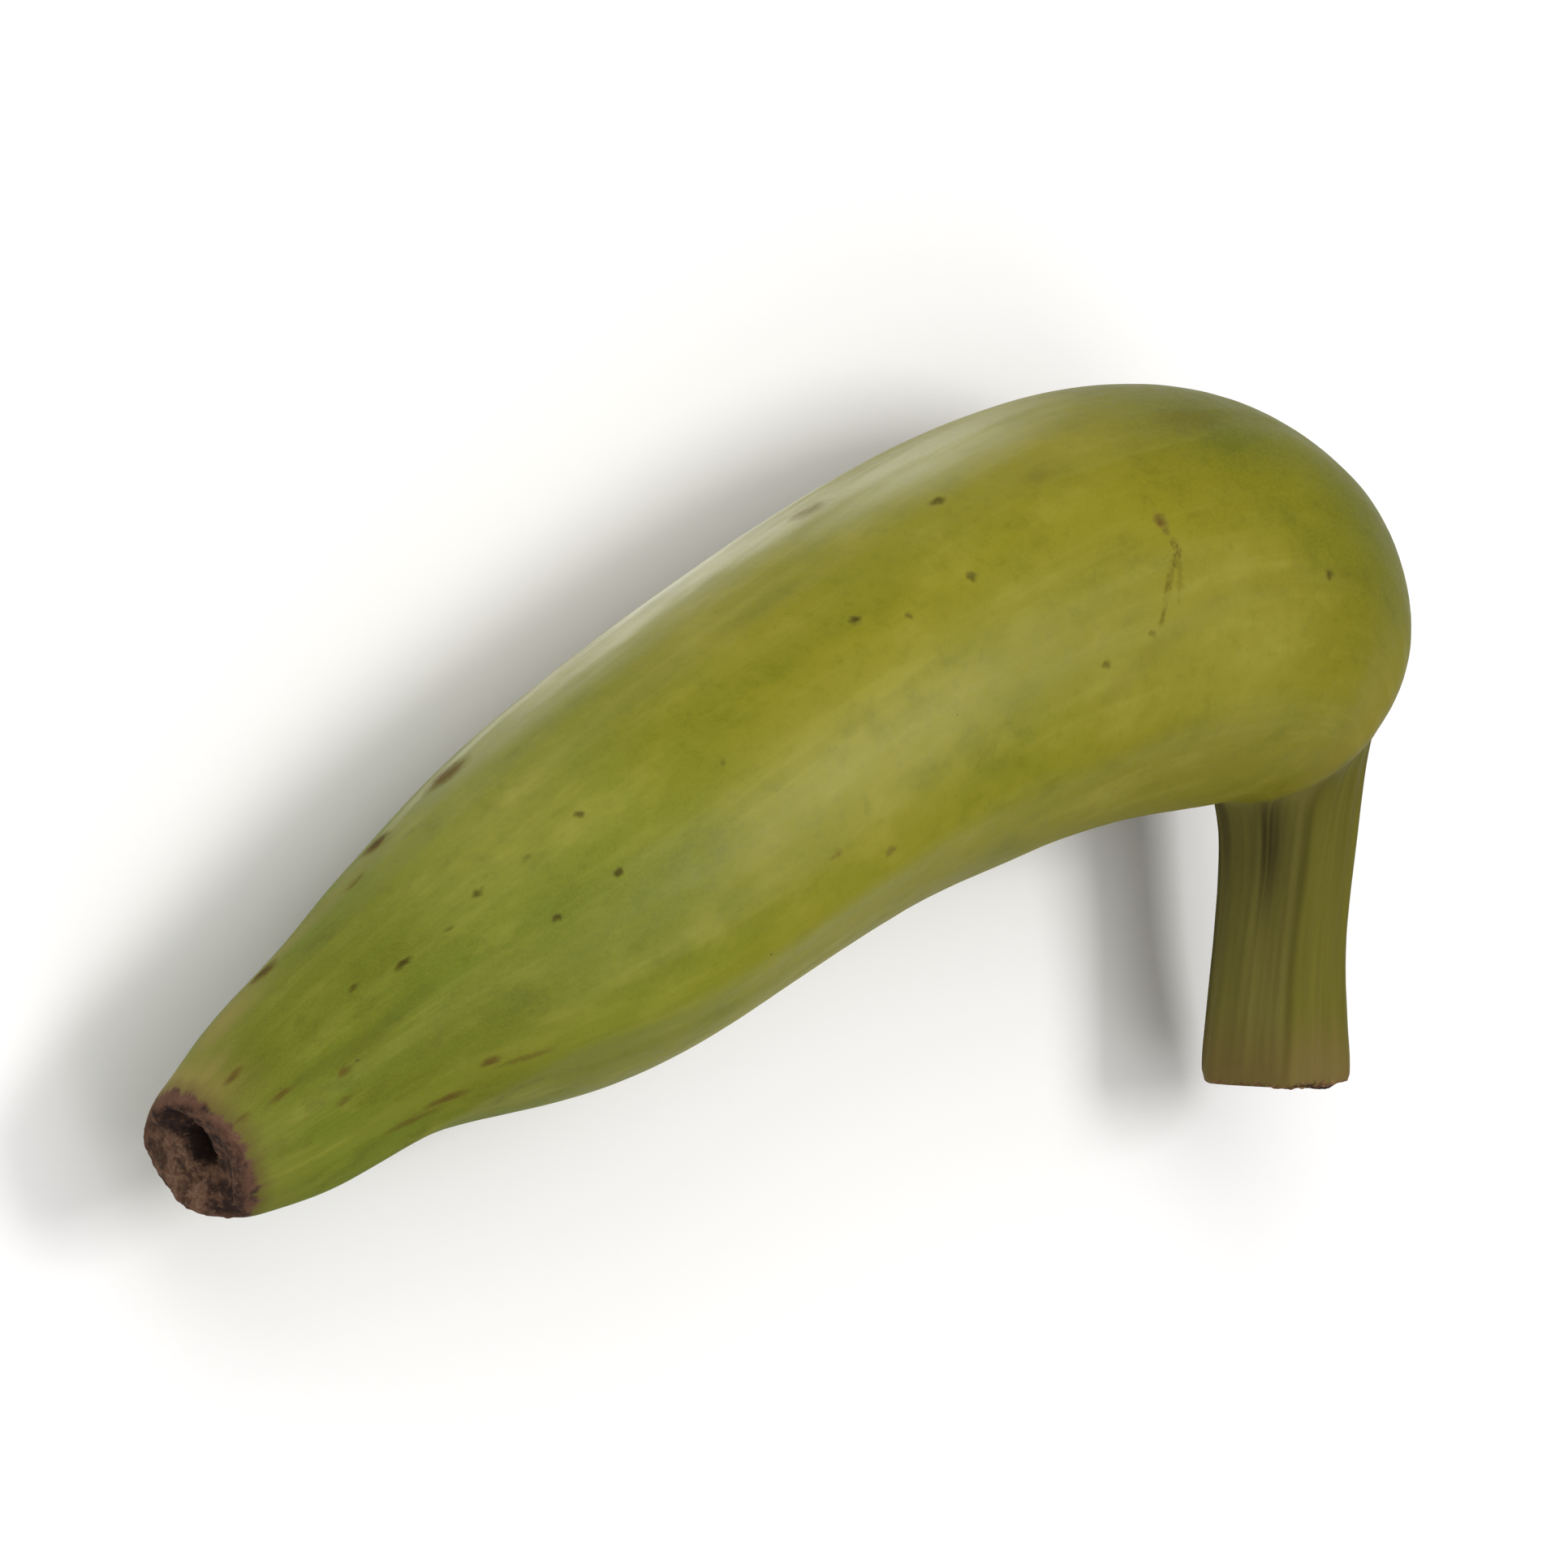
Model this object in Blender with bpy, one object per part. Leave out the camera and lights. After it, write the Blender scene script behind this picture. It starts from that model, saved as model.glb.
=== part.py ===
"""A green plantain finger lying on its side, as one closed solid.

The finger is a tube through outline stations, from the blossom scar at the
tip to the cut face of the stem. It has five lengthwise ridges. The curve of
the finger lies in the XY plane before the finger is laid to rest.
"""

import math

import bmesh
import bpy
import numpy as np

CM = 0.01

# Outer edge of the curve, from the tip to the cut stem, in centimetres
OUTER_EDGE = (
    (-0.35, 0.74),
    (0.44, 1.41),
    (1.62, 2.16),
    (2.97, 3.02),
    (4.42, 3.98),
    (6.58, 5.15),
    (8.82, 6.17),
    (11.35, 7.14),
    (13.65, 7.67),
    (15.66, 7.65),
    (17.12, 7.08),
    (18.05, 6.19),
    (18.37, 5.05),
    (18.37, 4.40),
    (18.33, 3.80),
    (18.29, 3.00),
    (18.22, 2.10),
    (18.12, 1.10),
    (18.22, -0.60),
)

# Inner edge of the curve at the same stations
INNER_EDGE = (
    (0.35, -0.74),
    (1.36, -0.55),
    (2.66, -0.16),
    (4.22, 0.08),
    (5.98, 0.31),
    (8.41, 1.09),
    (10.58, 1.91),
    (12.65, 2.44),
    (14.35, 2.69),
    (15.60, 2.74),
    (16.20, 2.77),
    (16.45, 2.76),
    (16.62, 2.72),
    (16.73, 2.69),
    (16.80, 2.62),
    (16.86, 2.30),
    (16.84, 1.75),
    (16.72, 1.00),
    (16.46, -0.60),
)

# Half of the thickness across the curve at the same stations
HALF_THICKNESS = (
    0.82, 1.08, 1.27, 1.60, 2.00, 2.25, 2.36, 2.46, 2.50, 2.43,
    2.28, 2.06, 1.76, 1.38, 1.13, 0.93, 0.84, 0.80, 0.88,
)

RINGS = 84
AROUND = 48

# Ridges of the skin, in degrees round the section from its outer edge
RIDGES = (45.0, 113.0, 180.0, 247.0, 315.0)
RIDGE_STRENGTH = (0.55, 1.0, 0.6, 1.0, 0.55)
RIDGE_SOFTNESS = 0.16
TIP_TWIST = 34.0
NECK_TWIST = 12.0

# Height of the ridges over the flats between them, as a share of the radius
BODY_RIDGE = 0.050
SHOULDER_RIDGE = 0.022
TIP_RIDGE = 0.085
NECK_RIDGE = 0.150

# Relief of the two end faces, in centimetres
SCAR_COLLAR = 0.09
SCAR_BOWL = 0.08
SCAR_PIT = 0.30
CUT_STEP = 0.07
END_SHARES = (0.97, 0.90, 0.79, 0.66, 0.52, 0.38, 0.24, 0.11)

# The tilt that lays belly, tip and stem on the ground, in degrees
TILT_X = 9.0
TILT_Y = 0.5
PRESS = 0.06


def spline(knots, values, where):
    """Natural cubic spline through the values, read at the places given."""
    count = len(knots)
    gap = np.diff(knots)
    slope = np.diff(values, axis=0) / gap[:, None]
    system = np.eye(count)
    right = np.zeros_like(values)
    for i in range(1, count - 1):
        system[i, i - 1] = gap[i - 1]
        system[i, i] = 2 * (gap[i - 1] + gap[i])
        system[i, i + 1] = gap[i]
        right[i] = 6 * (slope[i] - slope[i - 1])
    bend = np.linalg.solve(system, right)
    i = np.clip(np.searchsorted(knots, where) - 1, 0, count - 2)
    width = gap[i][:, None]
    t = ((where - knots[i]) / gap[i])[:, None]
    s = 1 - t
    line = s * values[i] + t * values[i + 1]
    curve = (s**3 - s) * bend[i] + (t**3 - t) * bend[i + 1]
    return line + width**2 / 6 * curve


def smooth(low, high, x):
    t = np.clip((x - low) / (high - low), 0, 1)
    return t * t * (3 - 2 * t)


def ridge_height(share):
    """Ridge height along the finger: sharp at both ends, soft on the shoulder."""
    height = TIP_RIDGE + (BODY_RIDGE - TIP_RIDGE) * smooth(0.03, 0.22, share)
    height = height + (SHOULDER_RIDGE - height) * smooth(0.58, 0.72, share)
    return height + (NECK_RIDGE - height) * smooth(0.80, 0.90, share)


def ridge_factor(share, angle):
    """Radius factor of a section, with the ridges out and the flats in."""
    twist = TIP_TWIST * (1 - smooth(0.07, 0.20, share))
    twist = twist + NECK_TWIST * smooth(0.78, 0.87, share)
    turned = np.mod(angle - twist, 360.0)
    profile = np.zeros_like(turned)
    ring = RIDGES + (RIDGES[0] + 360.0,)
    strength = RIDGE_STRENGTH + RIDGE_STRENGTH[:1]
    turned = np.where(turned < ring[0], turned + 360.0, turned)
    for i in range(5):
        low, high = ring[i], ring[i + 1]
        inside = (turned >= low) & (turned <= high)
        half = (high - low) / 2
        for corner, weight in ((low, strength[i]), (high, strength[i + 1])):
            near = inside & (np.abs(turned - corner) <= half)
            q = np.abs(turned - corner) / half
            soft = np.sqrt(q * q + RIDGE_SOFTNESS**2) - RIDGE_SOFTNESS
            soft = soft / (math.sqrt(1 + RIDGE_SOFTNESS**2) - RIDGE_SOFTNESS)
            crest = weight * (1 - np.clip(soft, 0, 1)) ** 2
            profile = np.where(near, crest, profile)
    return 1 + ridge_height(share) * (profile - 0.25)


def scar_relief(share, angle):
    """Height of the blossom scar: a lobed collar round a bowl with a slot pit."""
    turn = np.radians(angle)
    out = share * np.cos(turn)
    side = share * np.sin(turn)
    lobes = 1 + 0.45 * np.cos(3 * turn + 0.8) + 0.25 * np.cos(5 * turn + 2.1)
    collar = SCAR_COLLAR * lobes * np.exp(-(((share - 0.80) / 0.15) ** 2))
    bowl = SCAR_BOWL * np.exp(-((share / 0.60) ** 2))
    pit = SCAR_PIT * np.exp(-(((out - 0.08) / 0.34) ** 2) - (side / 0.17) ** 2)
    notch = 0.11 * np.exp(-(((out - 0.66) / 0.16) ** 2) - ((side + 0.12) / 0.20) ** 2)
    return collar - bowl - pit - notch


def cut_relief(share, angle):
    """Height of the cut stem face: a torn step and a raised skin edge."""
    turn = np.radians(angle)
    out = share * np.cos(turn)
    side = share * np.sin(turn)
    step = CUT_STEP * np.tanh((0.7 * out + 0.7 * side + 0.1) / 0.22)
    waves = 0.03 * np.sin(6.3 * out + 1.0) * np.cos(7.1 * side)
    core = 0.07 * np.exp(-(((out + 0.15) / 0.3) ** 2) - (side / 0.3) ** 2)
    inside = 1 - smooth(0.86, 1.0, share)
    return (step + waves - core - 0.04) * inside


def sections(places):
    """Centre, outward half chord and half thickness at the shares given."""
    outer = np.array(OUTER_EDGE)
    inner = np.array(INNER_EDGE)
    thick = np.array(HALF_THICKNESS)[:, None]
    middle = (outer + inner) / 2
    steps = np.linalg.norm(np.diff(middle, axis=0), axis=1)
    knots = np.concatenate([[0.0], np.cumsum(steps)])
    values = np.hstack([outer, inner, thick])
    read = spline(knots, values, places * knots[-1])
    centre = (read[:, 0:2] + read[:, 2:4]) / 2
    chord = (read[:, 0:2] - read[:, 2:4]) / 2
    return centre, chord, read[:, 4]


def skin_point(centre, chord, thick, angle, factor):
    turn = np.radians(angle)
    flat = centre + chord * (factor * np.cos(turn))[..., None]
    lift = thick * factor * np.sin(turn)
    return np.concatenate([flat, lift[..., None]], axis=-1)


def end_cap(place, outward, relief, angles):
    """Rings of an end face, from the skin edge to its middle point."""
    centre, chord, thick = sections(np.array([place]))
    axis = np.array([chord[0, 1], -chord[0, 0], 0.0]) * outward
    axis = axis / np.linalg.norm(axis)
    rings = []
    for share in END_SHARES:
        shares = np.full_like(angles, share)
        factor = share * ridge_factor(np.full_like(angles, place), angles)
        ring = skin_point(centre[0], chord[0], thick[0], angles, factor)
        rings.append(ring + relief(shares, angles)[:, None] * axis)
    middle = np.array([centre[0, 0], centre[0, 1], 0.0])
    depth = relief(np.zeros(1), np.zeros(1))[0]
    return rings, middle + depth * axis


def finger_rings():
    """All rings of the finger, from the middle of the scar to that of the cut."""
    angles = np.linspace(0.0, 360.0, AROUND, endpoint=False)
    places = np.linspace(0.0, 1.0, RINGS)
    centre, chord, thick = sections(places)
    scar, scar_middle = end_cap(0.0, -1.0, scar_relief, angles)
    cut, cut_middle = end_cap(1.0, 1.0, cut_relief, angles)
    rings = scar[::-1]
    for i, place in enumerate(places):
        factor = ridge_factor(np.full_like(angles, place), angles)
        rings.append(skin_point(centre[i], chord[i], thick[i], angles, factor))
    rings.extend(cut)
    return np.array(rings), scar_middle, cut_middle


def turn_about(axis, degrees):
    c = math.cos(math.radians(degrees))
    s = math.sin(math.radians(degrees))
    if axis == "X":
        return np.array([[1, 0, 0], [0, c, -s], [0, s, c]])
    return np.array([[c, 0, s], [0, 1, 0], [-s, 0, c]])


def laid_to_rest(points):
    """Points tilted onto the three low spots, which are pressed flat at zero."""
    turned = points @ (turn_about("Y", TILT_Y) @ turn_about("X", TILT_X)).T
    low = turned.min(axis=0)
    high = turned.max(axis=0)
    turned[:, 0] -= (low[0] + high[0]) / 2
    turned[:, 1] -= (low[1] + high[1]) / 2
    turned[:, 2] -= low[2] + PRESS
    turned[:, 2] = np.maximum(turned[:, 2], 0.0)
    return turned


def build_finger():
    rings, scar_middle, cut_middle = finger_rings()
    count = len(rings)
    points = np.vstack([rings.reshape(-1, 3), scar_middle, cut_middle])
    points = laid_to_rest(points) * CM
    faces = []
    for i in range(count - 1):
        for j in range(AROUND):
            k = (j + 1) % AROUND
            a, b = i * AROUND + j, i * AROUND + k
            faces.append((a, b, b + AROUND, a + AROUND))
    tip = count * AROUND
    last = (count - 1) * AROUND
    for j in range(AROUND):
        k = (j + 1) % AROUND
        faces.append((tip, k, j))
        faces.append((tip + 1, last + j, last + k))
    mesh = bpy.data.meshes.new("plantain")
    mesh.from_pydata([tuple(p) for p in points.tolist()], [], faces)
    shape = bmesh.new()
    shape.from_mesh(mesh)
    bmesh.ops.recalc_face_normals(shape, faces=shape.faces)
    shape.to_mesh(mesh)
    shape.free()
    for face in mesh.polygons:
        face.use_smooth = True
    finger = bpy.data.objects.new("plantain", mesh)
    bpy.context.scene.collection.objects.link(finger)
    return finger


def skin_material():
    material = bpy.data.materials.new("green_skin")
    material.use_nodes = True
    surface = material.node_tree.nodes["Principled BSDF"]
    surface.inputs["Base Color"].default_value = (0.25, 0.245, 0.034, 1.0)
    surface.inputs["Roughness"].default_value = 0.42
    surface.inputs["Metallic"].default_value = 0.0
    return material


for item in list(bpy.data.objects):
    bpy.data.objects.remove(item, do_unlink=True)

plantain = build_finger()
plantain.data.materials.append(skin_material())
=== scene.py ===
"""Looks of the green plantain finger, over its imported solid."""

import math

import bpy
import numpy as np
from mathutils import Matrix, Vector


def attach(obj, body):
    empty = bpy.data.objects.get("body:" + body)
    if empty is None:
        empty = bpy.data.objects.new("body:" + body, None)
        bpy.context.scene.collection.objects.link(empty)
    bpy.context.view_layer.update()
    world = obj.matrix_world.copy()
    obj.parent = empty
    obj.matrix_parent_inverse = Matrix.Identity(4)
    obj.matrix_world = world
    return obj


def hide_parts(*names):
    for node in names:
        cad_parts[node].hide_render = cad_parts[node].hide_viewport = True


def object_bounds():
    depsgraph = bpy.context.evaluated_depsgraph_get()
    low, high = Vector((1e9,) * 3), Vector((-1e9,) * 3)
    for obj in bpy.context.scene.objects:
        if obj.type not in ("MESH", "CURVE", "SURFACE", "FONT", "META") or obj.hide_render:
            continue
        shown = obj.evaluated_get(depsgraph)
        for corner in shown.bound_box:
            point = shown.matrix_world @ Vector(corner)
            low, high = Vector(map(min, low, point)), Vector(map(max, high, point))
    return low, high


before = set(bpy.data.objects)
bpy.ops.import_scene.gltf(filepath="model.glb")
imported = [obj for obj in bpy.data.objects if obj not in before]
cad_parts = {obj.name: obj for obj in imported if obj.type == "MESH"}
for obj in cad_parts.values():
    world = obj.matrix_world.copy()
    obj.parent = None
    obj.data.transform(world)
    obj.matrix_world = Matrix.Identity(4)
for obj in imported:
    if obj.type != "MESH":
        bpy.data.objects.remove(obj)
cad_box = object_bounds()

CM = 0.01

# Outer and inner edge of the curve from the tip to the cut stem, then half of
# the thickness across it, at the same stations as the solid's, in centimetres
OUTER_EDGE = (
    (-0.35, 0.74), (0.44, 1.41), (1.62, 2.16), (2.97, 3.02), (4.42, 3.98),
    (6.58, 5.15), (8.82, 6.17), (11.35, 7.14), (13.65, 7.67), (15.66, 7.65),
    (17.12, 7.08), (18.05, 6.19), (18.37, 5.05), (18.37, 4.40), (18.33, 3.80),
    (18.29, 3.00), (18.22, 2.10), (18.12, 1.10), (18.22, -0.60),
)
INNER_EDGE = (
    (0.35, -0.74), (1.36, -0.55), (2.66, -0.16), (4.22, 0.08), (5.98, 0.31),
    (8.41, 1.09), (10.58, 1.91), (12.65, 2.44), (14.35, 2.69), (15.60, 2.74),
    (16.20, 2.77), (16.45, 2.76), (16.62, 2.72), (16.73, 2.69), (16.80, 2.62),
    (16.86, 2.30), (16.84, 1.75), (16.72, 1.00), (16.46, -0.60),
)
HALF_THICKNESS = (
    0.82, 1.08, 1.27, 1.60, 2.00, 2.25, 2.36, 2.46, 2.50, 2.43,
    2.28, 2.06, 1.76, 1.38, 1.13, 0.93, 0.84, 0.80, 0.88,
)

RINGS = 340
AROUND = 216
CAP_RINGS = 26

# Ridges of the skin, in degrees round the section from its outer edge
RIDGES = (45.0, 113.0, 180.0, 247.0, 315.0)
RIDGE_STRENGTH = (0.55, 1.0, 0.6, 1.0, 0.55)
RIDGE_SOFTNESS = 0.12
TIP_TWIST = 34.0
NECK_TWIST = 12.0
BODY_RIDGE = 0.050
SHOULDER_RIDGE = 0.022
TIP_RIDGE = 0.085
NECK_RIDGE = 0.150

# Relief of the two end faces, in centimetres
SCAR_COLLAR = 0.09
SCAR_BOWL = 0.08
SCAR_PIT = 0.30
SCAR_NOTCH = 0.11
CUT_STEP = 0.07
CUT_WAVES = 0.03
CUT_CORE = 0.07
CUT_SINK = 0.04

# How far the patterns run over each end face, and how the skin's edge rounds
# off there: a share of the radius, and the length that it fades over, all
# lengths in centimetres
SCAR_REACH = 0.8
CUT_REACH = 0.9
SCAR_ROUND = (0.05, 0.07)
CUT_ROUND = (0.04, 0.05)

# Noises of the relief: height in centimetres, scale per centimetre and seed
SCAR_CRUST = ((0.030, 5.0, 11), (0.018, 11.0, 12), (0.010, 23.0, 13))
CUT_TORN = ((0.030, 6.0, 21), (0.022, 13.0, 22), (0.012, 27.0, 23))
SWELLS = ((0.036, (0.32, 0.55, 0.55), 31), (0.014, (0.75, 1.05, 1.05), 36))
FLUTES = ((0.010, (0.13, 1.5, 1.5), 32), (0.006, (0.3, 3.4, 3.4), 33))
GRAIN = ((0.0025, (3.0, 6.0, 6.0), 34),)
CORDS = ((0.026, (0.25, 2.3, 2.3), 35), (0.010, (0.4, 5.2, 5.2), 37))

# Whole numbers that scatter the noise's lattice: one for each axis, one for the
# seed and one for the last mixing
SCATTER = (374761393, 668265263, 2147483647)
SCATTER_SEED = 144269504
SCATTER_MIX = 1274126177

# The tilt that lays the flank on the ground, in degrees, and its pressed flat
TILT_X = 9.0
TILT_Y = 0.5
PRESS = 0.06

# Radius of the tube that the skin's patterns are laid out on, in centimetres
PATTERN_RADIUS = 2.4

# The photograph's view of the finger, whose curve then stands upright
VIEW_AZIMUTH = 45.0
VIEW_ELEVATION = 6.1
VIEW_DISTANCE = 2.33
LENS_MM = 470.0
SENSOR_MM = 36.0
CLIP_START = 0.05

# Soft lights: name, direction from the finger's middle, distance and side in
# metres, power in watts
LIGHTS = (
    ("main", (0.44, 0.02, 0.90), 1.2, 0.45, 6.1),
    ("overhead", (-0.10, 0.06, 1.00), 1.5, 2.4, 20.0),
    ("fill", (-0.48, 0.76, 0.42), 1.4, 1.4, 12.0),
    ("lower", (0.10, -0.78, 0.60), 1.4, 1.2, 4.8),
)

# The even light around, and the floor: its reach in metres and its two tones
WORLD_COLOUR = (1.0, 0.99, 0.98, 1.0)
WORLD_STRENGTH = 0.20
FLOOR_REACH = 6.0
FLOOR_DARK = (0.800, 0.790, 0.785, 1.0)
FLOOR_LIGHT = (0.830, 0.822, 0.816, 1.0)
FLOOR_ROUGHNESS = 0.6
FLOOR_SPECULAR = 0.3


def spline(knots, values, where):
    """Natural cubic spline through the values, read at the places given."""
    count = len(knots)
    gap = np.diff(knots)
    slope = np.diff(values, axis=0) / gap[:, None]
    system = np.eye(count)
    right = np.zeros_like(values)
    for i in range(1, count - 1):
        system[i, i - 1] = gap[i - 1]
        system[i, i] = 2 * (gap[i - 1] + gap[i])
        system[i, i + 1] = gap[i]
        right[i] = 6 * (slope[i] - slope[i - 1])
    bend = np.linalg.solve(system, right)
    i = np.clip(np.searchsorted(knots, where) - 1, 0, count - 2)
    width = gap[i][:, None]
    t = ((where - knots[i]) / gap[i])[:, None]
    s = 1 - t
    line = s * values[i] + t * values[i + 1]
    curve = (s**3 - s) * bend[i] + (t**3 - t) * bend[i + 1]
    return line + width**2 / 6 * curve


def smooth(low, high, x):
    """Smooth step from 0 at low to 1 at high."""
    t = np.clip((x - low) / (high - low), 0, 1)
    return t * t * (3 - 2 * t)


def noise(points, seed):
    """Smooth lattice noise from -1 to 1 at points in space."""
    cell = np.floor(points).astype(np.int64)
    part = points - cell
    part = part * part * (3 - 2 * part)
    total = np.zeros(points.shape[:-1])
    for corner in range(8):
        offset = np.array([corner & 1, corner >> 1 & 1, corner >> 2 & 1])
        key = cell + offset
        mixed = key[..., 0] * SCATTER[0] + key[..., 1] * SCATTER[1]
        mixed = mixed + key[..., 2] * SCATTER[2] + seed * SCATTER_SEED
        mixed = (mixed ^ (mixed >> 13)) * SCATTER_MIX
        value = ((mixed ^ (mixed >> 16)) & 0xFFFF) / 32767.5 - 1
        weight = np.prod(np.where(offset == 1, part, 1 - part), axis=-1)
        total += weight * value
    return total


def layered(points, layers):
    """Sum of noises, each with its height, its scale and its seed."""
    total = 0.0
    for height, scale, seed in layers:
        total = total + height * noise(points * np.array(scale), seed)
    return total


def ridge_height(share):
    """Ridge height along the finger: sharp at both ends, soft on the shoulder."""
    height = TIP_RIDGE + (BODY_RIDGE - TIP_RIDGE) * smooth(0.03, 0.22, share)
    height = height + (SHOULDER_RIDGE - height) * smooth(0.58, 0.72, share)
    return height + (NECK_RIDGE - height) * smooth(0.80, 0.90, share)


def twist_at(share):
    """Turn of the ridges along the finger, in degrees."""
    twist = TIP_TWIST * (1 - smooth(0.07, 0.20, share))
    return twist + NECK_TWIST * smooth(0.78, 0.87, share)


def ridge_factor(share, angle):
    """Radius factor of a section, with the ridges out and the flats in."""
    turned = np.mod(angle - twist_at(share), 360.0)
    profile = np.zeros_like(turned)
    ring = RIDGES + (RIDGES[0] + 360.0,)
    strength = RIDGE_STRENGTH + RIDGE_STRENGTH[:1]
    turned = np.where(turned < ring[0], turned + 360.0, turned)
    for i in range(len(RIDGES)):
        low, high = ring[i], ring[i + 1]
        inside = (turned >= low) & (turned <= high)
        half = (high - low) / 2
        for corner, weight in ((low, strength[i]), (high, strength[i + 1])):
            near = inside & (np.abs(turned - corner) <= half)
            q = np.abs(turned - corner) / half
            soft = np.sqrt(q * q + RIDGE_SOFTNESS**2) - RIDGE_SOFTNESS
            soft = soft / (math.sqrt(1 + RIDGE_SOFTNESS**2) - RIDGE_SOFTNESS)
            crest = weight * (1 - np.clip(soft, 0, 1)) ** 2
            profile = np.where(near, crest, profile)
    return 1 + ridge_height(share) * (profile - 0.25)


def scar_relief(share, angle):
    """Height of the blossom scar: a lobed collar round a bowl with a slot pit."""
    turn = np.radians(angle)
    out = share * np.cos(turn)
    side = share * np.sin(turn)
    lobes = 1 + 0.45 * np.cos(3 * turn + 0.8) + 0.25 * np.cos(5 * turn + 2.1)
    collar = SCAR_COLLAR * lobes * np.exp(-(((share - 0.80) / 0.15) ** 2))
    bowl = SCAR_BOWL * np.exp(-((share / 0.60) ** 2))
    pit = SCAR_PIT * np.exp(-(((out - 0.08) / 0.34) ** 2) - (side / 0.17) ** 2)
    notch = SCAR_NOTCH * np.exp(-(((out - 0.66) / 0.16) ** 2) - ((side + 0.12) / 0.20) ** 2)
    flat = np.stack([out, side, np.zeros_like(out)], axis=-1)
    inside = 1 - smooth(0.93, 1.0, share)
    return collar - bowl - pit - notch + layered(flat, SCAR_CRUST) * inside


def cut_relief(share, angle):
    """Height of the cut stem face: a torn step and a raised skin edge."""
    turn = np.radians(angle)
    out = share * np.cos(turn)
    side = share * np.sin(turn)
    step = CUT_STEP * np.tanh((0.7 * out + 0.7 * side + 0.1) / 0.22)
    waves = CUT_WAVES * np.sin(6.3 * out + 1.0) * np.cos(7.1 * side)
    core = CUT_CORE * np.exp(-(((out + 0.15) / 0.3) ** 2) - (side / 0.3) ** 2)
    flat = np.stack([out, side, np.zeros_like(out)], axis=-1)
    inside = 1 - smooth(0.86, 1.0, share)
    return (step + waves - core - CUT_SINK + layered(flat, CUT_TORN)) * inside


def sections(places):
    """Centre, outward half chord and half thickness at the shares given."""
    outer = np.array(OUTER_EDGE)
    inner = np.array(INNER_EDGE)
    thick = np.array(HALF_THICKNESS)[:, None]
    middle = (outer + inner) / 2
    steps = np.linalg.norm(np.diff(middle, axis=0), axis=1)
    knots = np.concatenate([[0.0], np.cumsum(steps)])
    values = np.hstack([outer, inner, thick])
    read = spline(knots, values, places * knots[-1])
    centre = (read[:, 0:2] + read[:, 2:4]) / 2
    chord = (read[:, 0:2] - read[:, 2:4]) / 2
    return centre, chord, read[:, 4], knots[-1]


def skin_point(centre, chord, thick, angle, factor):
    """Point of a section at an angle from its outer edge, in centimetres."""
    turn = np.radians(angle)
    flat = centre + chord * (factor * np.cos(turn))[..., None]
    lift = thick * factor * np.sin(turn)
    return np.concatenate([flat, lift[..., None]], axis=-1)


def pattern_place(along, angle):
    """Where a skin point lies on the straight tube that carries the patterns."""
    turn = np.radians(angle)
    return np.stack(
        [
            along,
            PATTERN_RADIUS * np.cos(turn),
            PATTERN_RADIUS * np.sin(turn),
        ],
        axis=-1,
    )


def grid_normals(grid):
    """Outward normals of a grid of rings closed round its second axis."""
    along = np.gradient(grid, axis=0)
    around = np.roll(grid, -1, axis=1) - np.roll(grid, 1, axis=1)
    normal = np.cross(around, along)
    normal /= np.linalg.norm(normal, axis=-1, keepdims=True) + 1e-12
    outward = grid - grid.mean(axis=1, keepdims=True)
    if (normal * outward).sum() < 0:
        normal = -normal
    return normal


def skin_relief(share, tube):
    """Small heights of the skin in centimetres, calm at the very ends."""
    neck = smooth(0.80, 0.88, share)
    height = layered(tube, SWELLS) * (1 - 0.6 * neck)
    height = height + layered(tube, FLUTES) + layered(tube, GRAIN)
    height = height + layered(tube, CORDS) * neck
    calm = smooth(0.0, 0.02, share) * (1 - smooth(0.985, 1.0, share))
    return height * calm


def end_cap(place, outward, relief, angles, shares):
    """Rings of an end face from its edge inwards, and its middle point."""
    centre, chord, thick, _ = sections(np.array([place]))
    axis = np.array([chord[0, 1], -chord[0, 0], 0.0]) * outward
    axis = axis / np.linalg.norm(axis)
    rings = []
    for share in shares:
        spread = np.full_like(angles, share)
        factor = share * ridge_factor(np.full_like(angles, place), angles)
        ring = skin_point(centre[0], chord[0], thick[0], angles, factor)
        rings.append(ring + relief(spread, angles)[:, None] * axis)
    middle = np.array([centre[0, 0], centre[0, 1], 0.0])
    depth = relief(np.zeros(1), np.zeros(1))[0]
    return np.array(rings), middle + depth * axis


def turn_about(axis, degrees):
    """Matrix of a turn about the X or the Y axis."""
    c = math.cos(math.radians(degrees))
    s = math.sin(math.radians(degrees))
    if axis == "X":
        return np.array([[1, 0, 0], [0, c, -s], [0, s, c]])
    return np.array([[c, 0, s], [0, 1, 0], [-s, 0, c]])


REST_TURN = turn_about("Y", TILT_Y) @ turn_about("X", TILT_X)


def laid_to_rest(points):
    """Points tilted onto the flank, pressed flat and set inside the solid's box."""
    turned = points @ REST_TURN.T
    low = turned.min(axis=0)
    high = turned.max(axis=0)
    turned[:, 0] -= (low[0] + high[0]) / 2
    turned[:, 1] -= (low[1] + high[1]) / 2
    turned[:, 2] -= low[2] + PRESS
    turned[:, 2] = np.maximum(turned[:, 2], 0.0)
    limit_low = np.array(cad_box[0]) / CM
    limit_high = np.array(cad_box[1]) / CM
    for axis in range(2):
        half = (limit_high[axis] - limit_low[axis]) / 2
        reach = np.abs(turned[:, axis]).max()
        turned[:, axis] *= min(1.0, half / reach)
        turned[:, axis] += (limit_high[axis] + limit_low[axis]) / 2
    turned[:, 2] *= min(1.0, limit_high[2] / turned[:, 2].max())
    return turned


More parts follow.
